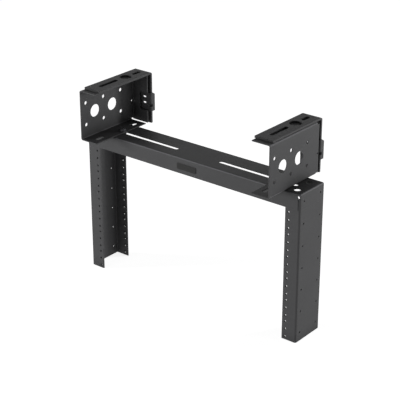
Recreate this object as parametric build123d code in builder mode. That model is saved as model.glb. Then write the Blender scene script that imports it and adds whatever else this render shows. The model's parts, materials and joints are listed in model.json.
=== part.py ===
from build123d import *
import os

# Ceiling mount rack, millimetres. Z is up from the leg bottoms, X runs across the rack
# and Y runs from its front to its back. The origin is on the floor, in the middle.

# Rack frame
rack_units = 6
unit_height = 44.45
frame_width = 514.35
frame_depth = 76.2
frame_sheet = 2.0
frame_bend = 3.5
flange_width = 31.75
header_height = 31.75
header_clearance = 1.6
back_lip_height = 15.5
back_lip_corner = 3.0

# Rack screw holes in the leg flanges, the standard 19 inch pattern, 465.1 mm apart
rack_hole_inset = 24.625
rack_hole_dia = 4.5
rack_hole_first = 6.35
rack_hole_steps = (0, 15.875, 31.75)

# Small holes in the leg webs and the ends of the crossbar
side_hole_dia = 3.5
side_hole_inset = 12.7
side_hole_rise = 17.86

# Crossbar slots, cable holes and corner reliefs
slot_width = 9.5
slot_from_front = 33.0
slot_end_gap = 2.0
cable_hole_dia = 12.7
cable_hole_side = 18.6
cable_hole_front = 16.9
cable_hole_pitch = 38.1
relief_dia = 5.0
corner_gap = 1.2

# Side brackets, formed sheet with a top, a bottom and a rear flange
bracket_side = 31.3
bracket_overhang = 50.8
bracket_depth = 152.4
bracket_height = 101.6
bracket_sheet = 2.0
bracket_bend = 4.0
bracket_flange = 40.0
bracket_gap = 0.3
slide_out = 29.0
slide_in = 138.0

# Reliefs that let the rear flange stand free, and the notch in its free edge
flange_relief = 7.8
rear_relief = 1.2
notch_height = 37.0
notch_rise = 45.3
notch_length = 20.0
notch_corner = 3.0

# Holes in the bracket webs
web_hole_columns = 5
web_hole_first = 14.4
web_hole_pitch = 24.8
web_hole_rise = 50.2
web_small_offset = 22.35
web_small_dia = 7.4
web_large_dia = 25.4
web_rear_hole_dia = 4.0
web_rear_hole_inset = 6.1
web_rear_hole_rise = 41.1

# Slots in the bracket bottom flanges
foot_slot_width = 8.0
foot_slot_length = 20.0
foot_slot_inset = 25.0
foot_slot_front = 26.0
foot_slot_rear = 124.0

# Top straps, flat bar bent down behind the bracket
strap_thickness = 4.0
strap_width = 40.5
strap_inset = 2.4
strap_setback = 12.0
strap_rear_gap = 6.0
strap_bend = 5.0
strap_foot_drop = 1.0
strap_slot_width = 9.5
strap_long_slot = 52.0
strap_long_slot_at = 57.0
strap_eye_dia = 24.0
strap_eye_at = 107.0
strap_short_slot = 22.0
strap_short_slot_at = 138.0
leg_window_width = 14.0
leg_window_height = 19.0
leg_window_corner = 3.0
leg_window_inset = 17.1
leg_window_rise = 45.3

# Back clips, a channel behind the notch, with its ears round the leg of each strap
clip_sheet = 2.0
clip_bend = 3.0
clip_flange_gap = 3.0
clip_side_gap = 0.3
clip_depth = 11.9
clip_foot_drop = 2.2
clip_top_drop = 0.4
clip_chamfer_run = 6.0
clip_chamfer_drop = 4.0
clip_bend_slot_height = 6.0
clip_bend_slot_run = 5.0
clip_bend_slot_reach = 4.5
clip_bend_slot_rise = 36.9
clip_slot_length = 8.0
clip_slot_width = 3.6
clip_slot_pitch = 12.1
clip_slot_inset = 14.4
clip_slot_rise = 47.2

# Clamp bolts that hold the brackets in the crossbar slots
bolt_inset = 32.0
bolt_dia = 8.0
bolt_head_dia = 14.0
bolt_head_height = 4.4
bolt_head_chamfer = 1.6
bolt_socket_width = 5.0
bolt_socket_depth = 2.5
bolt_hole_dia = 8.6
washer_dia = 16.0
washer_thickness = 1.6
nut_width = 13.0
nut_height = 6.5
bolt_end = 3.0
thread_gap = 0.05

# Label plate on the front lip
label_width = 46.0
label_height = 12.0
label_thickness = 0.8
label_corner = 1.5
label_rise = 14.5
label_shift = -2.8

# Places worked out from the sizes above
opening_height = rack_units * unit_height
leg_height = opening_height + header_clearance
frame_top = leg_height + header_height
clip_front = bracket_depth + clip_flange_gap
overall_depth = clip_front + clip_depth
bracket_front = -overall_depth / 2
bracket_back = bracket_front + bracket_depth
frame_front = bracket_front + bracket_overhang
frame_back = frame_front + frame_depth
frame_middle = (frame_front + frame_back) / 2
bracket_base = frame_top + bracket_gap
bracket_top = bracket_base + bracket_height
bracket_reach = frame_width / 2 - bracket_side
flange_middle = bracket_reach - bracket_flange / 2
slot_y = frame_front + slot_from_front
bolt_x = bracket_reach - bolt_inset
slot_outer_end = bolt_x + slide_out + bolt_dia / 2 + slot_end_gap
slot_inner_end = bolt_x - slide_in - bolt_dia / 2 - slot_end_gap
cable_hole_x = frame_width / 2 - cable_hole_side
strap_outer = bracket_reach - strap_inset
strap_inner = strap_outer - strap_width
strap_middle = (strap_outer + strap_inner) / 2
strap_back = bracket_back + strap_rear_gap + strap_thickness
notch_foot = bracket_base + notch_rise - notch_height / 2
notch_top = notch_foot + notch_height

os.makedirs("parts", exist_ok=True)


def save(builder, name):
    """Labels a finished piece and writes it to its own file."""
    builder.part.label = name
    export_step(builder.part, f"parts/{name}.step")


def build_crossbar():
    """The header tray: a top with front, back and end lips turned down."""
    slit_x = frame_width / 2 - frame_bend - corner_gap / 2
    slit_height = header_height - frame_bend - relief_dia / 2
    slot_middle = (slot_inner_end + slot_outer_end) / 2
    with BuildPart() as crossbar:
        with BuildSketch(Plane.XY.offset(leg_height)) as outline:
            with Locations((0, frame_middle)):
                Rectangle(frame_width, frame_depth)
            fillet(outline.vertices(), radius=frame_bend)
        extrude(amount=header_height)
        fillet(crossbar.faces().sort_by(Axis.Z)[-1].edges(), radius=frame_bend)
        offset(amount=-frame_sheet, openings=crossbar.faces().sort_by(Axis.Z)[0])
        # open corners: a slit beside each end bend, with a round relief at its top
        with BuildSketch(Plane.XZ):
            for side in (-1, 1):
                with Locations((side * slit_x, leg_height + slit_height / 2)):
                    Rectangle(corner_gap, slit_height)
                with Locations((side * slit_x, leg_height + slit_height)):
                    Circle(relief_dia / 2)
        extrude(amount=2 * frame_depth, both=True, mode=Mode.SUBTRACT)
        # bolt slots and cable holes in the top
        with BuildSketch(Plane.XY.offset(frame_top)):
            for side in (-1, 1):
                with Locations((side * slot_middle, slot_y)):
                    SlotOverall(slot_outer_end - slot_inner_end, slot_width)
                for step in (0, cable_hole_pitch):
                    with Locations((side * cable_hole_x, frame_front + cable_hole_front + step)):
                        Circle(cable_hole_dia / 2)
        extrude(amount=-2 * frame_sheet, mode=Mode.SUBTRACT)
        # the back lip is cut low between the legs, so that it clears what is fed down the slots
        with BuildSketch(Plane.XZ.offset(-frame_back)):
            with Locations((0, leg_height)):
                RectangleRounded(frame_width - 2 * flange_width, 2 * (header_height - back_lip_height),
                                 back_lip_corner)
        extrude(amount=2 * frame_sheet, mode=Mode.SUBTRACT)
        with BuildSketch(Plane.YZ):
            for y in (frame_front + side_hole_inset, frame_back - side_hole_inset):
                with Locations((y, opening_height + side_hole_rise)):
                    Circle(side_hole_dia / 2)
        extrude(amount=frame_width, both=True, mode=Mode.SUBTRACT)
    save(crossbar, "crossbar")


def build_leg(side, name):
    """A leg channel with its web outboard and both flanges turned inward."""
    outer = side * frame_width / 2
    with BuildPart() as leg:
        with BuildSketch() as section:
            with Locations((outer - side * flange_width / 2, frame_middle)):
                Rectangle(flange_width, frame_depth)
            fillet(section.vertices().sort_by(Axis.X)[-2:] if side > 0
                   else section.vertices().sort_by(Axis.X)[:2], radius=frame_bend)
            with BuildSketch(mode=Mode.SUBTRACT) as inside:
                with Locations((outer - side * (frame_sheet + flange_width / 2), frame_middle)):
                    Rectangle(flange_width, frame_depth - 2 * frame_sheet)
                fillet(inside.vertices().sort_by(Axis.X)[-2:] if side > 0
                       else inside.vertices().sort_by(Axis.X)[:2], radius=frame_bend - frame_sheet)
        extrude(amount=leg_height)
        # rack screw holes through both flanges
        with BuildSketch(Plane.XZ):
            for unit in range(rack_units):
                for step in rack_hole_steps:
                    drop = rack_hole_first + unit * unit_height + step
                    with Locations((outer - side * rack_hole_inset, opening_height - drop)):
                        Circle(rack_hole_dia / 2)
        extrude(amount=2 * frame_depth, both=True, mode=Mode.SUBTRACT)
        # accessory holes in the web
        with BuildSketch(Plane.YZ.offset(outer)):
            for unit in range(1, rack_units + 1):
                z = opening_height + side_hole_rise - unit * unit_height
                for y in (frame_front + side_hole_inset, frame_back - side_hole_inset):
                    with Locations((y, z)):
                        Circle(side_hole_dia / 2)
        extrude(amount=2 * frame_sheet, both=True, mode=Mode.SUBTRACT)
    save(leg, name)


def build_bracket(side, name):
    """A side bracket: a web with top, bottom and rear flanges turned inward."""
    outer = side * bracket_reach
    middle_y = (bracket_front + bracket_back) / 2
    with BuildPart() as bracket:
        with BuildSketch(Plane.XY.offset(bracket_base)):
            with Locations((side * flange_middle, middle_y)):
                Rectangle(bracket_flange, bracket_depth)
        extrude(amount=bracket_height)
        web = bracket.faces().sort_by(Axis.X)[-1 if side > 0 else 0]
        front_edge = web.edges().filter_by(Axis.Z).sort_by(Axis.Y)[0]
        fillet(web.edges() - [front_edge], radius=bracket_bend)
        open_faces = [
            bracket.faces().filter_by(Plane.YZ).sort_by(Axis.X)[0 if side > 0 else -1],
            bracket.faces().filter_by(Plane.XZ).sort_by(Axis.Y)[0],
        ]
        offset(amount=-bracket_sheet, openings=open_faces)
        # the rear flange stands free of the top and bottom flanges
        relief_middle = bracket_back - (flange_relief + bracket_sheet) / 2
        with BuildSketch(Plane.YZ):
            for z in (bracket_base, bracket_top):
                with Locations((relief_middle, z)):
                    Rectangle(flange_relief - bracket_sheet, 2 * bracket_bend)
                with Locations((bracket_back, z)):
                    Rectangle(2 * bracket_sheet, 2 * rear_relief)
        extrude(amount=side * frame_width, mode=Mode.SUBTRACT)
        # its free edge is notched in front of the back clip
        with BuildSketch(Plane.XZ.offset(-bracket_back)):
            with Locations((outer - side * bracket_flange, bracket_base + notch_rise)):
                RectangleRounded(2 * notch_length, notch_height, notch_corner)
        extrude(amount=2 * bracket_sheet, mode=Mode.SUBTRACT)
        # cable and screw holes in the web
        with BuildSketch(Plane.YZ):
            for column in range(web_hole_columns):
                y = bracket_front + web_hole_first + column * web_hole_pitch
                z = bracket_base + web_hole_rise
                if column % 2:
                    with Locations((y, z)):
                        Circle(web_large_dia / 2)
                else:
                    with Locations((y, z - web_small_offset), (y, z + web_small_offset)):
                        Circle(web_small_dia / 2)
            with Locations((bracket_back - web_rear_hole_inset, bracket_base + web_rear_hole_rise)):
                Circle(web_rear_hole_dia / 2)
        extrude(amount=2 * outer, mode=Mode.SUBTRACT)
        # slots and the clamp bolt hole in the bottom flange
        with BuildSketch(Plane.XY.offset(bracket_base)):
            for run in (foot_slot_front, foot_slot_rear):
                with Locations((outer - side * foot_slot_inset, bracket_front + run)):
                    SlotOverall(foot_slot_length, foot_slot_width, rotation=90)
            with Locations((side * bolt_x, slot_y)):
                Circle(bolt_hole_dia / 2)
        extrude(amount=2 * bracket_sheet, mode=Mode.SUBTRACT)
    save(bracket, name)


def build_strap(side, name):
    """A flat bar that lies on the bracket and turns down behind it."""
    front = bracket_front + strap_setback
    top = bracket_top + strap_thickness
    foot = bracket_base - strap_foot_drop
    leg_face = strap_back - strap_thickness
    openings = ((strap_long_slot_at, strap_long_slot), (strap_short_slot_at, strap_short_slot))
    with BuildPart() as strap:
        with BuildSketch(Plane.YZ.offset(side * strap_middle)):
            with BuildLine():
                Polyline((front, bracket_top), (front, top), (strap_back, top), (strap_back, foot),
                         (leg_face, foot), (leg_face, bracket_top), close=True)
            make_face()
        extrude(amount=strap_width / 2, both=True)
        bends = strap.edges().filter_by(Axis.X)
        fillet(bends.sort_by_distance((side * strap_middle, strap_back, top))[0], radius=strap_bend)
        bends = strap.edges().filter_by(Axis.X)
        inner_corner = (side * strap_middle, leg_face, bracket_top)
        fillet(bends.sort_by_distance(inner_corner)[0], radius=strap_bend - strap_thickness)
        # two slots and an eye for hanging rods
        with BuildSketch(Plane.XY.offset(top)):
            for run, length in openings:
                with Locations((side * strap_middle, bracket_front + run)):
                    SlotOverall(length, strap_slot_width, rotation=90)
            with Locations((side * strap_middle, bracket_front + strap_eye_at)):
                Circle(strap_eye_dia / 2)
        extrude(amount=-2 * strap_thickness, mode=Mode.SUBTRACT)
        # a window in the turned down leg, behind the slots of the back clip
        with BuildSketch(Plane.XZ.offset(-strap_back)):
            with Locations((side * (strap_inner + leg_window_inset), bracket_base + leg_window_rise)):
                RectangleRounded(leg_window_width, leg_window_height, leg_window_corner)
        extrude(amount=2 * strap_thickness, mode=Mode.SUBTRACT)
    save(strap, name)


def build_clip(side, name):
    """A channel whose web stands behind the notch and whose ears run back past the strap's leg."""
    front = bracket_front + clip_front
    back = front + clip_depth
    top = notch_top - clip_top_drop
    foot = notch_foot - clip_foot_drop
    inside_width = strap_width + 2 * clip_side_gap
    middle = side * strap_middle
    with BuildPart() as clip:
        with BuildSketch(Plane.YZ.offset(middle)):
            with BuildLine():
                Polyline((front, foot), (front, top), (back - clip_chamfer_run, top),
                         (back, top - clip_chamfer_drop), (back, foot), close=True)
            make_face()
        extrude(amount=inside_width / 2 + clip_sheet, both=True)
        bends = clip.edges().filter_by(Axis.Z).group_by(Axis.Y)[0]
        fillet(bends, radius=clip_bend)
        with BuildSketch(Plane.XY.offset(foot)) as inside:
            with Locations((middle, front + clip_sheet + clip_depth / 2)):
                Rectangle(inside_width, clip_depth)
            fillet(inside.vertices().group_by(Axis.Y)[0], radius=clip_bend - clip_sheet)
        extrude(amount=top - foot, mode=Mode.SUBTRACT)
        # a square opening across each bend
        ear_spacing = inside_width + 2 * clip_sheet
        with BuildSketch(Plane.XZ.offset(-front)):
            for end in (-1, 1):
                with Locations((middle + end * ear_spacing / 2, bracket_base + clip_bend_slot_rise)):
                    Rectangle(2 * clip_bend_slot_reach, clip_bend_slot_height)
        extrude(amount=-clip_bend_slot_run, mode=Mode.SUBTRACT)
        # two level slots through the web
        slot_x = side * (strap_inner + clip_slot_inset)
        slot_z = bracket_base + clip_slot_rise
        with BuildSketch(Plane.XZ.offset(-front - clip_sheet)):
            for step_z in (-clip_slot_pitch / 2, clip_slot_pitch / 2):
                with Locations((slot_x, slot_z + step_z)):
                    SlotOverall(clip_slot_length, clip_slot_width)
        extrude(amount=2 * clip_sheet, mode=Mode.SUBTRACT)
    save(clip, name)


def build_clamp(side, prefix):
    """The bolt, washers and nut that hold a bracket in its crossbar slot."""
    centre = (side * bolt_x, slot_y)
    seat = bracket_base + bracket_sheet
    head_foot = seat + washer_thickness
    head_top = head_foot + bolt_head_height
    under = frame_top - frame_sheet - bracket_gap
    nut_foot = under - washer_thickness - nut_height
    for name, foot in (("upper_washer", seat), ("lower_washer", under - washer_thickness)):
        with BuildPart() as washer:
            with BuildSketch(Plane.XY.offset(foot)):
                with Locations(centre):
                    Circle(washer_dia / 2)
                    Circle(bolt_dia / 2 + thread_gap, mode=Mode.SUBTRACT)
            extrude(amount=washer_thickness)
        save(washer, f"{prefix}_{name}")
    with BuildPart() as bolt:
        with BuildSketch(Plane.XY.offset(head_foot)):
            with Locations(centre):
                Circle(bolt_head_dia / 2)
        extrude(amount=bolt_head_height)
        chamfer(bolt.faces().sort_by(Axis.Z)[-1].edges(), length=bolt_head_chamfer)
        with BuildSketch(Plane.XY.offset(head_top)):
            with Locations(centre):
                RegularPolygon(bolt_socket_width / 2, 6, major_radius=False)
        extrude(amount=-bolt_socket_depth, mode=Mode.SUBTRACT)
        with BuildSketch(Plane.XY.offset(nut_foot - bolt_end)):
            with Locations(centre):
                Circle(bolt_dia / 2)
        extrude(amount=head_foot - nut_foot + bolt_end)
    save(bolt, f"{prefix}_clamp_bolt")
    with BuildPart() as nut:
        with BuildSketch(Plane.XY.offset(nut_foot)):
            with Locations(centre):
                RegularPolygon(nut_width / 2, 6, major_radius=False)
                Circle(bolt_dia / 2 + thread_gap, mode=Mode.SUBTRACT)
        extrude(amount=nut_height)
    save(nut, f"{prefix}_clamp_nut")


def build_label():
    """The bare plate on the front lip."""
    with BuildPart() as label:
        with BuildSketch(Plane.XZ.offset(-frame_front)):
            with Locations((label_shift, leg_height + label_rise)):
                RectangleRounded(label_width, label_height, label_corner)
        extrude(amount=label_thickness)
    save(label, "label_plate")


build_crossbar()
for side, prefix in ((-1, "left"), (1, "right")):
    build_leg(side, f"{prefix}_leg")
    build_bracket(side, f"{prefix}_bracket")
    build_strap(side, f"{prefix}_strap")
    build_clip(side, f"{prefix}_back_clip")
    build_clamp(side, prefix)
build_label()
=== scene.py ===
import json
import math

import bmesh
import bpy
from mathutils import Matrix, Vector


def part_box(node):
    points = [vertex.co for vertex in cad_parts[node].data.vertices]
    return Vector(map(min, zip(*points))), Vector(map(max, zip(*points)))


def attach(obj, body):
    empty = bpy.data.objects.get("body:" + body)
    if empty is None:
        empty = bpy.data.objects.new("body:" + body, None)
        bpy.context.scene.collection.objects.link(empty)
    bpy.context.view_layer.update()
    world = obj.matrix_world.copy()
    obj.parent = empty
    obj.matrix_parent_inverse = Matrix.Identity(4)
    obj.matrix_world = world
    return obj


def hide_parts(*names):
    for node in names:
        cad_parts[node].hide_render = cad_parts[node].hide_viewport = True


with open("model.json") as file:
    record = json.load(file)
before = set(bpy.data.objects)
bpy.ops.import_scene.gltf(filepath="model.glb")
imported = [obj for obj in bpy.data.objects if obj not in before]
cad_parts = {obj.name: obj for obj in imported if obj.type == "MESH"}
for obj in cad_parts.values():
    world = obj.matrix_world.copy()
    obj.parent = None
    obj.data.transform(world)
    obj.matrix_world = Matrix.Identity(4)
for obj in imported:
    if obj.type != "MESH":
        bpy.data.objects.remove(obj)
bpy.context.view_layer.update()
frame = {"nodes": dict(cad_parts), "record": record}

MM = 0.001

# The camera's place, from the middle of the crossbar's front face and from the floor
CAMERA_PLACE = (1.4129, -1.7078, 1.2121)
CAMERA_AZIMUTH = 39.0
CAMERA_ELEVATION = 24.15
CAMERA_LENS = 115.17
CAMERA_SENSOR = 36.0

# Rack hole pattern in the legs, as the standard gives it
UNITS = 6
UNIT_HEIGHT = 44.45 * MM
HOLE_STEP = 15.875 * MM
HOLES_IN_UNIT = 3
LEGS = 2
TOP_HOLE_DROP = 6.35 * MM
HOLE_SPACING = 465.1 * MM
HOLE_RADIUS = 2.25 * MM
OPENING_HEIGHT = UNITS * UNIT_HEIGHT
SHEET = 2.0 * MM

# Tapped collars of the rack holes: thread ridges, and a rolled rim behind the sheet
RIDGE_PITCH = 0.8 * MM
RIDGE_DEPTH = 0.35 * MM
RIDGES_IN_HOLE = 4
RIM_WALL = 0.8 * MM
RIM_LENGTH = 1.3 * MM
RING_STEPS = 14

# Clamp bolts and their threads
BOLT_RADIUS = 4.0 * MM
BOLT_PITCH = 1.25 * MM
BOLT_RIDGE = 0.3 * MM
BOLT_END_CHAMFER = 0.7 * MM
THREAD_LENGTH = 3.6 * MM
THREAD_SHOWN = 2.0 * MM
THREAD_START = 0.8 * MM
THREAD_TURN_STEPS = 24
HEAD_RIM = 0.6 * MM
HEAD_UNDERCUT = 0.3 * MM
DOME_RINGS = 5
SOCKET_WIDTH = 5.0 * MM
SOCKET_DEPTH = 2.5 * MM
SOCKET_MOUTH = 0.3 * MM
SOCKET_CONE = 1.0 * MM
SOCKET_TIP = 0.2 * MM
CROWN_SHARE = 1.25

# Nuts and washers
ROUND_STEPS = 48
HEX_SIDES = 6
HEX_CHAMFER = math.radians(30)
NUT_SEAT_SHARE = 0.97
NUT_SINK = 0.5 * MM
BORE_GAP = 0.05 * MM
EDGE_ROUND = 0.25 * MM

# Label plate
LABEL_CORNER = 1.5 * MM
LABEL_BEVEL = 0.25 * MM
CORNER_POINTS = 7
TURN_STEP = 15
ON_FRONT = 1e-7

# Powder coat. A pair is from and to. Open air is 1 on an open face and less in a corner
COAT_FACE = "#3f3f40"
# Paler tone painted on edges, partly wear and partly a painted highlight, and round level folds as
# a painted highlight
COAT_WEAR_AND_HIGHLIGHT = "#727275"
COAT_ROUGHNESS = (0.52, 0.62)
COAT_DRIFT = (0.96, 1.04)
COAT_IOR = 1.5
COAT_MIRROR = 0.13
COAT_EDGE = 0.8 * MM
COAT_EDGE_MOST = 0.15
# Painted highlight round level folds goes up to this share, and open air below this range keeps it
# out of shaded corners
FOLD_HIGHLIGHT_MOST = 0.75
LEVEL_FOLD = 0.1
HIGHLIGHT_IN_AIR = (0.6, 0.9)
# Painted shade: where open air drops towards this, the colour is darkened towards the tone below
SHADE_IN_AIR = 0.35
PAINTED_SHADE_TONE = 0.6
PEEL_SIZE = 2.5 * MM
PEEL_HEIGHT = 0.05 * MM
POWDER_SIZE = 0.4 * MM
POWDER_HEIGHT = 0.02 * MM
DRIFT_SIZE = 60 * MM
CORNER_REACH = 28 * MM

# Normals this far along one axis, or along the rounded normal, are on an edge or on a flat
EDGE_TURN = 0.80
FLAT_TURN = 0.97

# Black chromate and the label's plastic
ZINC_FACE = "#38383a"
ZINC_EDGE = "#565659"
ZINC_ROUGHNESS = (0.42, 0.55)
ZINC_ROUND = 0.3 * MM
ZINC_EDGE_TURN = 0.75
CLOUD_SIZE = 3 * MM
LABEL_COLOUR = "#141413"
LABEL_ROUGHNESS = (0.38, 0.5)
LABEL_IOR = 1.54
LABEL_MIRROR = 0.2
SPARK_SIZE = 0.5 * MM
SPARK_HEIGHT = 0.03 * MM

# Noise keeps mostly between these
NOISE_LOW = 0.3
NOISE_HIGH = 0.7

# The studio. A lamp is its name, place, width and power
WORLD_STRENGTH = 0.02
FLOOR_COLOUR = "#d8d8d8"
FLOOR_HALF = 6.0
FLOOR_GAP = 0.5 * MM
FLOOR_GLOW = 0.86
FLOOR_LIGHT = 1.0
WHITE = (1, 1, 1, 1)
LAMP_TARGET = (0, 0, 0.2)
LAMPS = (("rear right lamp", (2.19, 2.80, 0.76), 0.8, 80),
         ("right lamp", (3.34, 1.0, 0.76), 0.8, 10),
         ("left lamp", (-2.90, -2.05, 0.76), 0.8, 92),
         ("front lamp", (-0.62, -3.5, 0.76), 0.8, 18))


# Colours and nodes

def linear(hex_colour):
    """An sRGB hex colour as linear RGBA."""
    channels = [int(hex_colour[at:at + 2], 16) / 255 for at in (1, 3, 5)]
    return [c / 12.92 if c <= 0.04045 else ((c + 0.055) / 1.055) ** 2.4 for c in channels] + [1.0]


def add(tree, kind, links=None, values=None, **settings):
    """Adds a node with its settings, its inputs' values and the links into them. A list of
    sources goes into one socket that takes several."""
    node = tree.nodes.new(kind)
    for key, value in settings.items():
        setattr(node, key, value)
    for key, value in (values or {}).items():
        node.inputs[key].default_value = value
    for key, sources in (links or {}).items():
        for source in sources if isinstance(sources, list) else [sources]:
            tree.links.new(source, node.inputs[key])
    return node


def new_material(name):
    """A material with an empty node tree."""
    material = bpy.data.materials.new(name)
    material.use_nodes = True
    material.node_tree.nodes.clear()
    return material, material.node_tree


def worn_and_highlit_edges(tree, radius, edge_turn, most):
    """A mask that is up to most on sharp edges, with the rounded normal that goes with it."""
    rounded = add(tree, "ShaderNodeBevel", values={"Radius": radius}, samples=6)
    plain = add(tree, "ShaderNodeNewGeometry")
    turn = add(tree, "ShaderNodeVectorMath",
               {0: rounded.outputs[0], 1: plain.outputs["Normal"]}, operation="DOT_PRODUCT")
    mask = add(tree, "ShaderNodeMapRange", {"Value": turn.outputs["Value"]},
               {"From Min": edge_turn, "From Max": FLAT_TURN, "To Min": most, "To Max": 0.0})
    return mask, rounded


def fold_highlight_mask(tree):
    """A mask of the painted highlight round the level folds of sheet metal. Its flat faces all lie
    on the axes, so on them one part of the normal is 1, and on a fold all parts are less."""
    normal = add(tree, "ShaderNodeTexCoord").outputs["Normal"]
    size = add(tree, "ShaderNodeVectorMath", {0: normal}, operation="ABSOLUTE").outputs["Vector"]
    parts = add(tree, "ShaderNodeSeparateXYZ", {"Vector": size}).outputs
    most = add(tree, "ShaderNodeMath", {0: parts["X"], 1: parts["Y"]}, operation="MAXIMUM")
    most = add(tree, "ShaderNodeMath", {0: most.outputs[0], 1: parts["Z"]}, operation="MAXIMUM")
    # an upright fold has a level normal, counts as flat, and gets no painted highlight
    level_fold = add(tree, "ShaderNodeMath", {0: parts["Z"]}, {1: LEVEL_FOLD},
                     operation="GREATER_THAN")
    flat = add(tree, "ShaderNodeMix", {"Factor": level_fold.outputs[0], "B": most.outputs[0]},
               {"A": 1.0}, data_type="FLOAT").outputs["Result"]
    return add(tree, "ShaderNodeMapRange", {"Value": flat},
               {"From Min": EDGE_TURN, "From Max": FLAT_TURN,
                "To Min": FOLD_HIGHLIGHT_MOST, "To Max": 0.0}).outputs["Result"]


# Materials

def powder_coat(name):
    """Baked polyester powder on folded steel: a dark satin film with a faint orange peel, a little
    paler on cut edges, where the film is thin and a painted highlight is added, paler round level
    folds as a painted highlight, and darker in the corners as painted shade."""
    material, tree = new_material(name)
    place = add(tree, "ShaderNodeTexCoord").outputs["Object"]
    # orange peel is about 1.5 mm from crest to crest, and drawn at 2.5 mm so that it shows
    peel = add(tree, "ShaderNodeTexNoise", {"Vector": place},
               {"Scale": 1 / PEEL_SIZE, "Detail": 2.0, "Roughness": 0.45})
    # powder grains are 0.15 mm, and drawn at 0.4 mm so that they show
    grains = add(tree, "ShaderNodeTexNoise", {"Vector": place},
                 {"Scale": 1 / POWDER_SIZE, "Detail": 1.0})
    # slow drift of the film's thickness over a hand's width
    drift = add(tree, "ShaderNodeTexNoise", {"Vector": place},
                {"Scale": 1 / DRIFT_SIZE, "Detail": 1.0})
    edges, rounded = worn_and_highlit_edges(tree, COAT_EDGE, EDGE_TURN, COAT_EDGE_MOST)
    # painted highlight: paler round level folds, and on edges where the film is also thin, but not
    # in the corners where parts meet and shade falls
    open_air = add(tree, "ShaderNodeAmbientOcclusion", values={"Distance": CORNER_REACH},
                   samples=12).outputs["AO"]
    wear_and_highlight = add(tree, "ShaderNodeMath", {0: edges.outputs["Result"], 1: fold_highlight_mask(tree)},
               operation="MAXIMUM")
    clear = add(tree, "ShaderNodeMapRange", {"Value": open_air},
                {"From Min": HIGHLIGHT_IN_AIR[0], "From Max": HIGHLIGHT_IN_AIR[1]})
    wear_and_highlight = add(tree, "ShaderNodeMath", {0: wear_and_highlight.outputs[0], 1: clear.outputs["Result"]},
               operation="MULTIPLY")
    tone = add(tree, "ShaderNodeMix", {"Factor": wear_and_highlight.outputs[0]}, data_type="RGBA")
    tone.inputs["A"].default_value = linear(COAT_FACE)
    tone.inputs["B"].default_value = linear(COAT_WEAR_AND_HIGHLIGHT)
    light = add(tree, "ShaderNodeMapRange", {"Value": drift.outputs["Fac"]},
                {"From Min": NOISE_LOW, "From Max": NOISE_HIGH,
                 "To Min": COAT_DRIFT[0], "To Max": COAT_DRIFT[1]})
    # painted shade: the colour darkens where the corners close in, standing in for the shade that
    # falls there
    painted_shade = add(tree, "ShaderNodeMapRange", {"Value": open_air},
                {"From Min": SHADE_IN_AIR, "To Min": PAINTED_SHADE_TONE})
    light = add(tree, "ShaderNodeMath", {0: light.outputs["Result"], 1: painted_shade.outputs["Result"]},
                operation="MULTIPLY")
    colour = add(tree, "ShaderNodeVectorMath",
                 {0: tone.outputs["Result"], "Scale": light.outputs[0]}, operation="SCALE")
    gloss = add(tree, "ShaderNodeMapRange", {"Value": grains.outputs["Fac"]},
                {"From Min": NOISE_LOW, "From Max": NOISE_HIGH,
                 "To Min": COAT_ROUGHNESS[0], "To Max": COAT_ROUGHNESS[1]})
    waves = add(tree, "ShaderNodeBump",
                {"Height": peel.outputs["Fac"], "Normal": rounded.outputs[0]},
                {"Strength": 0.25, "Distance": PEEL_HEIGHT})
    dust = add(tree, "ShaderNodeBump",
               {"Height": grains.outputs["Fac"], "Normal": waves.outputs[0]},
               {"Strength": 0.2, "Distance": POWDER_HEIGHT})
    # matting powder in the film breaks up most of the mirror light
    shader = add(tree, "ShaderNodeBsdfPrincipled",
                 {"Base Color": colour.outputs["Vector"], "Roughness": gloss.outputs["Result"],
                  "Normal": dust.outputs["Normal"]},
                 {"IOR": COAT_IOR, "Specular IOR Level": COAT_MIRROR})
    add(tree, "ShaderNodeOutputMaterial", {"Surface": shader.outputs["BSDF"]})
    return material


def black_zinc():
    """Black chromate on zinc plated steel: dark metal with a slightly cloudy gloss."""
    material, tree = new_material("black_chromate_zinc_plate")
    place = add(tree, "ShaderNodeTexCoord").outputs["Object"]
    cloud = add(tree, "ShaderNodeTexNoise", {"Vector": place},
                {"Scale": 1 / CLOUD_SIZE, "Detail": 3.0})
    edges, rounded = worn_and_highlit_edges(tree, ZINC_ROUND, ZINC_EDGE_TURN, 1.0)
    tone = add(tree, "ShaderNodeMix", {"Factor": edges.outputs["Result"]}, data_type="RGBA")
    tone.inputs["A"].default_value = linear(ZINC_FACE)
    tone.inputs["B"].default_value = linear(ZINC_EDGE)
    gloss = add(tree, "ShaderNodeMapRange", {"Value": cloud.outputs["Fac"]},
                {"From Min": NOISE_LOW, "From Max": NOISE_HIGH,
                 "To Min": ZINC_ROUGHNESS[0], "To Max": ZINC_ROUGHNESS[1]})
    shader = add(tree, "ShaderNodeBsdfPrincipled",
                 {"Base Color": tone.outputs["Result"], "Roughness": gloss.outputs["Result"],
                  "Normal": rounded.outputs[0]}, {"Metallic": 1.0})
    add(tree, "ShaderNodeOutputMaterial", {"Surface": shader.outputs["BSDF"]})
    return material


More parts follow.
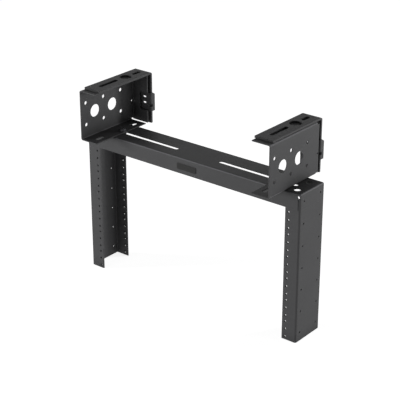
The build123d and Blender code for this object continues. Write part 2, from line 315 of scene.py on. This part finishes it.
def label_plastic():
    """Moulded ABS plate, left bare: dark, with a fine spark-eroded grain."""
    material, tree = new_material("moulded_abs_label_plate")
    place = add(tree, "ShaderNodeTexCoord").outputs["Object"]
    grain = add(tree, "ShaderNodeTexVoronoi", {"Vector": place}, {"Scale": 1 / SPARK_SIZE})
    bump = add(tree, "ShaderNodeBump", {"Height": grain.outputs["Distance"]},
               {"Strength": 0.25, "Distance": SPARK_HEIGHT})
    gloss = add(tree, "ShaderNodeMapRange", {"Value": grain.outputs["Distance"]},
                {"To Min": LABEL_ROUGHNESS[0], "To Max": LABEL_ROUGHNESS[1]})
    shader = add(tree, "ShaderNodeBsdfPrincipled",
                 {"Normal": bump.outputs["Normal"], "Roughness": gloss.outputs["Result"]},
                 {"Base Color": linear(LABEL_COLOUR), "IOR": LABEL_IOR,
                  "Specular IOR Level": LABEL_MIRROR})
    add(tree, "ShaderNodeOutputMaterial", {"Surface": shader.outputs["BSDF"]})
    return material


# Meshes

def finish_piece(piece, body, slot_name, material, *nodes):
    """Gives a piece its finish, its body and the nodes that it stands for."""
    if not piece.data.materials:
        piece.data.materials.append(material)
    if nodes:
        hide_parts(*nodes)
    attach(piece, body)
    return piece


def mesh_object(name, mesh):
    """A new object in the scene, with its place in its mesh."""
    piece = bpy.data.objects.new(name, mesh)
    bpy.context.scene.collection.objects.link(piece)
    return piece


def turned(name, centre, rings, bored):
    """A piece built of rings round a vertical axis. A ring is a radius for each angle, and a
    height for each angle. A bored piece closes on itself, and a solid one is capped."""
    mesh = bmesh.new()
    rows = []
    for radius, height in rings:
        row = []
        for step in range(ROUND_STEPS):
            angle = 2 * math.pi * step / ROUND_STEPS
            x = centre[0] + radius(angle) * math.cos(angle)
            y = centre[1] + radius(angle) * math.sin(angle)
            row.append(mesh.verts.new((x, y, height(angle))))
        rows.append(row)
    pairs = list(zip(rows, rows[1:])) + ([(rows[-1], rows[0])] if bored else [])
    for lower, upper in pairs:
        for step in range(ROUND_STEPS):
            after = (step + 1) % ROUND_STEPS
            mesh.faces.new((lower[step], lower[after], upper[after], upper[step]))
    if not bored:
        mesh.faces.new(list(reversed(rows[0])))
        mesh.faces.new(rows[-1])
    bmesh.ops.recalc_face_normals(mesh, faces=mesh.faces)
    data = bpy.data.meshes.new(name)
    mesh.to_mesh(data)
    mesh.free()
    return mesh_object(name, data)


def same(value):
    """A ring's radius or height that is the same all round."""
    return lambda angle: value


def hexagon(across):
    """The radius of a hexagon at each angle, from its width across flats."""
    wedge = 2 * math.pi / HEX_SIDES
    return lambda angle: across / 2 / math.cos((angle % wedge) - wedge / 2)


def box_facts(node):
    """A node's middle, its width along X, and its foot and top heights."""
    low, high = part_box(node)
    return ((low.x + high.x) / 2, (low.y + high.y) / 2), high.x - low.x, low.z, high.z


def washer(node, name):
    """A pressed washer with its edges rounded by the press."""
    centre, width, foot, top = box_facts(node)
    outer, inner, cut = width / 2, BOLT_RADIUS + BORE_GAP, EDGE_ROUND
    section = [(inner, foot + cut), (inner + cut, foot), (outer - cut, foot), (outer, foot + cut),
               (outer, top - cut), (outer - cut, top), (inner + cut, top), (inner, top - cut)]
    return turned(name, centre, [(same(r), same(z)) for r, z in section], True)


def nut(node, name):
    """A hexagon nut, its corners chamfered at both ends and its bore countersunk."""
    centre, _, foot, top = box_facts(node)
    low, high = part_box(node)
    across = high.y - low.y
    flat = hexagon(across)
    seat = across / 2 * NUT_SEAT_SHARE
    bore = BOLT_RADIUS + BORE_GAP

    def slope(angle):
        return (flat(angle) - seat) * math.tan(HEX_CHAMFER)

    rings = [(same(bore), same(foot + NUT_SINK)), (same(bore + NUT_SINK), same(foot)),
             (same(seat), same(foot)), (flat, lambda angle: foot + slope(angle)),
             (flat, lambda angle: top - slope(angle)), (same(seat), same(top)),
             (same(bore + NUT_SINK), same(top)), (same(bore), same(top - NUT_SINK))]
    return turned(name, centre, rings, True)


def button_bolt(node, name, seat):
    """A button head bolt with a hexagon socket and a chamfered end."""
    centre, width, foot, top = box_facts(node)
    rim, shank = width / 2, BOLT_RADIUS - BOLT_RIDGE
    dome_foot = seat + HEAD_RIM
    dome = [(rim * math.cos(turn), dome_foot + (top - dome_foot) * math.sin(turn))
            for turn in [math.radians(TURN_STEP * step) for step in range(DOME_RINGS)]]
    crown = SOCKET_WIDTH / 2 * CROWN_SHARE
    neck = seat - THREAD_LENGTH
    socket_floor = top - SOCKET_DEPTH
    rings = [(same(shank - BOLT_END_CHAMFER), same(foot)),
             (same(shank), same(foot + BOLT_END_CHAMFER)), (same(shank), same(neck)),
             (same(BOLT_RADIUS), same(neck + BOLT_RIDGE)), (same(BOLT_RADIUS), same(seat)),
             (same(rim - HEAD_UNDERCUT), same(seat))]
    rings += [(same(radius), same(height)) for radius, height in dome if radius > crown]
    rings += [(same(crown), same(top)), (hexagon(SOCKET_WIDTH), same(top - SOCKET_MOUTH)),
              (hexagon(SOCKET_WIDTH), same(socket_floor)),
              (same(SOCKET_TIP), same(socket_floor - SOCKET_CONE))]
    return turned(name, centre, rings, False)


def rounded_plate(name, low, high, corner, bevel):
    """A thin plate that faces the front, with round corners and a bevelled front edge."""
    mesh = bmesh.new()
    outline = []
    left, right = low.x + corner, high.x - corner
    down, up = low.z + corner, high.z - corner
    for x, z, start in ((right, up, 0), (left, up, 90), (left, down, 180), (right, down, 270)):
        for step in range(CORNER_POINTS):
            angle = math.radians(start + TURN_STEP * step)
            outline.append((x + corner * math.cos(angle), z + corner * math.sin(angle)))
    back = mesh.faces.new([mesh.verts.new((x, high.y, z)) for x, z in outline])
    front = bmesh.ops.extrude_face_region(mesh, geom=[back])["geom"]
    moved = [part for part in front if isinstance(part, bmesh.types.BMVert)]
    bmesh.ops.translate(mesh, vec=(0, low.y - high.y, 0), verts=moved)
    rim = [edge for edge in mesh.edges
           if all(abs(vert.co.y - low.y) < ON_FRONT for vert in edge.verts)]
    bmesh.ops.bevel(mesh, geom=rim, offset=bevel, segments=2, profile=0.5, affect="EDGES")
    bmesh.ops.recalc_face_normals(mesh, faces=mesh.faces)
    data = bpy.data.meshes.new(name)
    mesh.to_mesh(data)
    mesh.free()
    return mesh_object(name, data)


# Geometry node trees

def node_tree(name, inputs):
    """A geometry node tree with the named inputs, as kind and default."""
    tree = bpy.data.node_groups.new(name, "GeometryNodeTree")
    for title, (kind, value) in inputs.items():
        socket = tree.interface.new_socket(title, in_out="INPUT", socket_type="NodeSocket" + kind)
        if value is not None:
            socket.default_value = value
    tree.interface.new_socket("Geometry", in_out="OUTPUT", socket_type="NodeSocketGeometry")
    return tree, add(tree, "NodeGroupInput").outputs


def in_a_row(tree, shape, count, step, start):
    """Copies of a shape in a row. The step and the start are given as their axes' sockets."""
    step, start = [add(tree, "ShaderNodeCombineXYZ", axes).outputs["Vector"]
                   for axes in (step, start)]
    line = add(tree, "GeometryNodeMeshLine",
               {"Count": count, "Start Location": start, "Offset": step},
               count_mode="TOTAL", mode="OFFSET")
    return add(tree, "GeometryNodeInstanceOnPoints",
               {"Points": line.outputs["Mesh"], "Instance": shape}).outputs["Instances"]


def end_tree(tree, geometry, material):
    """Realizes the copies and gives them their material."""
    real = add(tree, "GeometryNodeRealizeInstances", {"Geometry": geometry})
    shown = add(tree, "GeometryNodeSetMaterial",
                {"Geometry": real.outputs[0], "Material": material})
    add(tree, "NodeGroupOutput", {"Geometry": shown.outputs[0]})


def swept_ring(tree, radius, section):
    """A section swept round a circle that stands upright and faces the front."""
    path = add(tree, "GeometryNodeCurvePrimitiveCircle", {"Radius": radius},
               {"Resolution": RING_STEPS})
    ring = add(tree, "GeometryNodeCurveToMesh",
               {"Curve": path.outputs["Curve"], "Profile Curve": section.outputs["Curve"]})
    return add(tree, "GeometryNodeTransform", {"Geometry": ring.outputs[0]},
               {"Rotation": (math.pi / 2, 0, 0)}).outputs[0]


def rack_hole_tree():
    """The tapped collar of every rack hole: thread ridges and a rolled rim behind the sheet, copied
    down the units and across to both legs, then turned round to the back flanges."""
    tree, given = node_tree("rack_hole_collars", {
        "Hole Radius": ("Float", HOLE_RADIUS), "Ridge Depth": ("Float", RIDGE_DEPTH),
        "Ridge Pitch": ("Float", RIDGE_PITCH), "Ridges": ("Int", RIDGES_IN_HOLE),
        "Rim Wall": ("Float", RIM_WALL), "Rim Length": ("Float", RIM_LENGTH),
        "Rim Place": ("Float", 0.0), "Holes In Unit": ("Int", HOLES_IN_UNIT),
        "Next Hole": ("Float", -HOLE_STEP), "Units": ("Int", UNITS),
        "Next Unit": ("Float", -UNIT_HEIGHT), "Top Hole": ("Float", 0.0), "Legs": ("Int", LEGS),
        "Next Leg": ("Float", HOLE_SPACING), "Left Leg": ("Float", 0.0), "Front": ("Float", 0.0),
        "Front And Back": ("Float", 0.0), "Finish": ("Material", None)})
    ridge = add(tree, "GeometryNodeCurvePrimitiveCircle", {"Radius": given["Ridge Depth"]},
                {"Resolution": 4})
    rim = add(tree, "GeometryNodeCurvePrimitiveQuadrilateral",
              {"Width": given["Rim Wall"], "Height": given["Rim Length"]})
    # the middle of the rim's wall
    rim_radius = add(tree, "ShaderNodeMath", {0: given["Rim Wall"], 2: given["Hole Radius"]},
                     {1: 0.5}, operation="MULTIPLY_ADD").outputs[0]
    ridges = in_a_row(tree, swept_ring(tree, given["Hole Radius"], ridge), given["Ridges"],
                      {"Y": given["Ridge Pitch"]}, {"Y": given["Ridge Depth"]})
    behind = add(tree, "ShaderNodeCombineXYZ", {"Y": given["Rim Place"]}).outputs["Vector"]
    rolled = add(tree, "GeometryNodeTransform",
                 {"Geometry": swept_ring(tree, rim_radius, rim), "Translation": behind})
    hole = add(tree, "GeometryNodeJoinGeometry", {0: [ridges, rolled.outputs[0]]}).outputs[0]
    unit = in_a_row(tree, hole, given["Holes In Unit"], {"Z": given["Next Hole"]}, {})
    column = in_a_row(tree, unit, given["Units"], {"Z": given["Next Unit"]},
                      {"Z": given["Top Hole"]})
    front = in_a_row(tree, column, given["Legs"], {"X": given["Next Leg"]},
                     {"X": given["Left Leg"], "Y": given["Front"]})
    across = add(tree, "ShaderNodeCombineXYZ", {"Y": given["Front And Back"]}).outputs["Vector"]
    back = add(tree, "GeometryNodeTransform", {"Geometry": front, "Translation": across},
               {"Rotation": (0, 0, math.pi)})
    both = add(tree, "GeometryNodeJoinGeometry", {0: [front, back.outputs[0]]})
    end_tree(tree, both.outputs[0], given["Finish"])
    return tree


def screw_thread_tree():
    """A bolt's thread: a pointed section swept up a helix, at a place."""
    tree, given = node_tree("bolt_thread", {
        "Radius": ("Float", BOLT_RADIUS), "Ridge": ("Float", BOLT_RIDGE),
        "Pitch": ("Float", BOLT_PITCH), "Length": ("Float", THREAD_SHOWN),
        "Place": ("Vector", None), "Finish": ("Material", None)})
    turns = add(tree, "ShaderNodeMath", {0: given["Length"], 1: given["Pitch"]}, operation="DIVIDE")
    helix = add(tree, "GeometryNodeCurveSpiral",
                {"Rotations": turns.outputs[0], "Start Radius": given["Radius"],
                 "End Radius": given["Radius"], "Height": given["Length"]},
                {"Resolution": THREAD_TURN_STEPS})
    section = add(tree, "GeometryNodeCurvePrimitiveCircle", {"Radius": given["Ridge"]},
                  {"Resolution": 4})
    thread = add(tree, "GeometryNodeCurveToMesh",
                 {"Curve": helix.outputs["Curve"], "Profile Curve": section.outputs["Curve"]},
                 {"Fill Caps": True})
    placed = add(tree, "GeometryNodeTransform",
                 {"Geometry": thread.outputs[0], "Translation": given["Place"]})
    end_tree(tree, placed.outputs[0], given["Finish"])
    return tree


def grown(name, tree, values):
    """A plain mesh made by a geometry node tree, with its inputs set by their identifiers."""
    seed = mesh_object(name + "_seed", bpy.data.meshes.new(name + "_seed"))
    maker = seed.modifiers.new("maker", "NODES")
    maker.node_group = tree
    for item in tree.interface.items_tree:
        if item.in_out == "INPUT" and item.name in values:
            maker[item.identifier] = values[item.name]
    seed.data.update()
    bpy.context.view_layer.update()
    solved = seed.evaluated_get(bpy.context.evaluated_depsgraph_get())
    mesh = bpy.data.meshes.new_from_object(solved)
    mesh.name = name
    seed.modifiers.remove(maker)
    bpy.data.objects.remove(seed)
    return mesh_object(name, mesh)


# The rack

def dress_nodes(coats):
    """Puts each finish on the CAD nodes that keep their shape."""
    slots = {part["node"]: part["material_slot"] for part in frame["record"]["subparts"]}
    for name, node in frame["nodes"].items():
        node.data.materials.clear()
        node.data.materials.append(coats[slots[name]])


def rack_hole_collars(coat):
    """The tapped collars of all seventy-two rack holes, one piece on the frame."""
    low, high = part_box("crossbar")
    collars = grown("rack_hole_collars", rack_hole_tree(), {
        "Top Hole": OPENING_HEIGHT - TOP_HOLE_DROP, "Left Leg": -HOLE_SPACING / 2,
        "Rim Place": SHEET + RIM_LENGTH / 2, "Front": low.y, "Front And Back": low.y + high.y,
        "Finish": coat})
    return finish_piece(collars, "frame", "frame_coat", coat)


def clamp_hardware(prefix, thread_tree, metal):
    """The bolt, nut and washers that hold one bracket, with the bolt's thread."""
    body = f"{prefix}_hanger"
    for level in ("upper", "lower"):
        node = f"{prefix}_{level}_washer"
        finish_piece(washer(node, f"{node}_pressed"), body, "black_zinc", metal, node)
    node = f"{prefix}_clamp_nut"
    finish_piece(nut(node, f"{node}_chamfered"), body, "black_zinc", metal, node)
    node = f"{prefix}_clamp_bolt"
    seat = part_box(f"{prefix}_upper_washer")[1].z
    finish_piece(button_bolt(node, f"{node}_turned", seat), body, "black_zinc", metal, node)
    centre, _, foot, _ = box_facts(node)
    place = (centre[0], centre[1], foot + THREAD_START)
    thread = grown(f"{prefix}_bolt_thread", thread_tree, {
        "Radius": BOLT_RADIUS - BOLT_RIDGE, "Length": THREAD_SHOWN, "Place": place,
        "Finish": metal})
    finish_piece(thread, body, "black_zinc", metal)


def label(plastic):
    """The bare plate on the front lip, in place of its plain node."""
    low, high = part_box("label_plate")
    plate = rounded_plate("label_plate_bare", low, high, LABEL_CORNER, LABEL_BEVEL)
    finish_piece(plate, "frame", "label", plastic, "label_plate")


# The studio

def lamp(name, place, size, power):
    """A soft square lamp aimed at the rack."""
    data = bpy.data.lights.new(name, "AREA")
    data.shape = "SQUARE"
    data.size = size
    data.energy = power
    stand = bpy.data.objects.new(name, data)
    bpy.context.scene.collection.objects.link(stand)
    stand.location = place
    aim = Vector(LAMP_TARGET) - Vector(place)
    stand.rotation_euler = aim.to_track_quat("-Z", "Y").to_euler()


def seen_mask(tree):
    """1 to the camera, in reflections and through glass, and 0 to light that falls on things."""
    path = add(tree, "ShaderNodeLightPath")
    seen = add(tree, "ShaderNodeMath",
               {0: path.outputs["Is Camera Ray"], 1: path.outputs["Is Glossy Ray"]},
               operation="MAXIMUM")
    return add(tree, "ShaderNodeMath",
               {0: seen.outputs[0], 1: path.outputs["Is Transmission Ray"]},
               operation="MAXIMUM").outputs[0]


def studio():
    """A white surround, a pale floor that keeps the shadow, and soft lamps."""
    scene = bpy.context.scene
    scene.view_settings.view_transform = "Standard"
    scene.world = bpy.data.worlds.new("studio")
    scene.world.use_nodes = True
    tree = scene.world.node_tree
    tree.nodes.clear()
    level = add(tree, "ShaderNodeMath", {0: seen_mask(tree)}, {1: WORLD_STRENGTH},
                operation="MAXIMUM")
    white = add(tree, "ShaderNodeBackground", {"Strength": level.outputs[0]}, {"Color": WHITE})
    add(tree, "ShaderNodeOutputWorld", {"Surface": white.outputs[0]})
    mesh = bmesh.new()
    bmesh.ops.create_grid(mesh, x_segments=1, y_segments=1, size=FLOOR_HALF)
    data = bpy.data.meshes.new("floor")
    mesh.to_mesh(data)
    mesh.free()
    floor = mesh_object("floor", data)
    floor.location = (0, 0, -FLOOR_GAP)
    material, tree = new_material("pale_paper_floor")
    paper = add(tree, "ShaderNodeBsdfDiffuse", values={"Color": linear(FLOOR_COLOUR)})
    level = add(tree, "ShaderNodeMapRange", {"Value": seen_mask(tree)},
                {"To Min": FLOOR_LIGHT, "To Max": FLOOR_GLOW})
    glow = add(tree, "ShaderNodeEmission", {"Strength": level.outputs[0]}, {"Color": WHITE})
    both = add(tree, "ShaderNodeAddShader", {0: paper.outputs[0], 1: glow.outputs[0]})
    add(tree, "ShaderNodeOutputMaterial", {"Surface": both.outputs[0]})
    data.materials.append(material)
    for name, place, size, power in LAMPS:
        lamp(name, place, size, power)


def camera():
    """The photograph's camera."""
    data = bpy.data.cameras.new("photo_camera")
    data.sensor_width = CAMERA_SENSOR
    data.lens = CAMERA_LENS
    seat = mesh_object("photo_camera", data)
    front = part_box("crossbar")[0].y
    seat.location = (CAMERA_PLACE[0], front + CAMERA_PLACE[1], CAMERA_PLACE[2])
    turn, lift = math.radians(CAMERA_AZIMUTH), math.radians(CAMERA_ELEVATION)
    back = Vector((math.sin(turn) * math.cos(lift), -math.cos(turn) * math.cos(lift),
                   math.sin(lift)))
    seat.rotation_euler = back.to_track_quat("Z", "Y").to_euler()
    bpy.context.scene.camera = seat


frame_finish = powder_coat("satin_powder_coat_frame")
bracket_finish = powder_coat("satin_powder_coat_bracket")
zinc = black_zinc()
plastic = label_plastic()
dress_nodes({"frame_coat": frame_finish, "bracket_coat": bracket_finish, "black_zinc": zinc,
             "label": plastic})
rack_hole_collars(frame_finish)
bolt_thread_tree = screw_thread_tree()
for prefix in ("left", "right"):
    clamp_hardware(prefix, bolt_thread_tree, zinc)
label(plastic)
camera()
studio()
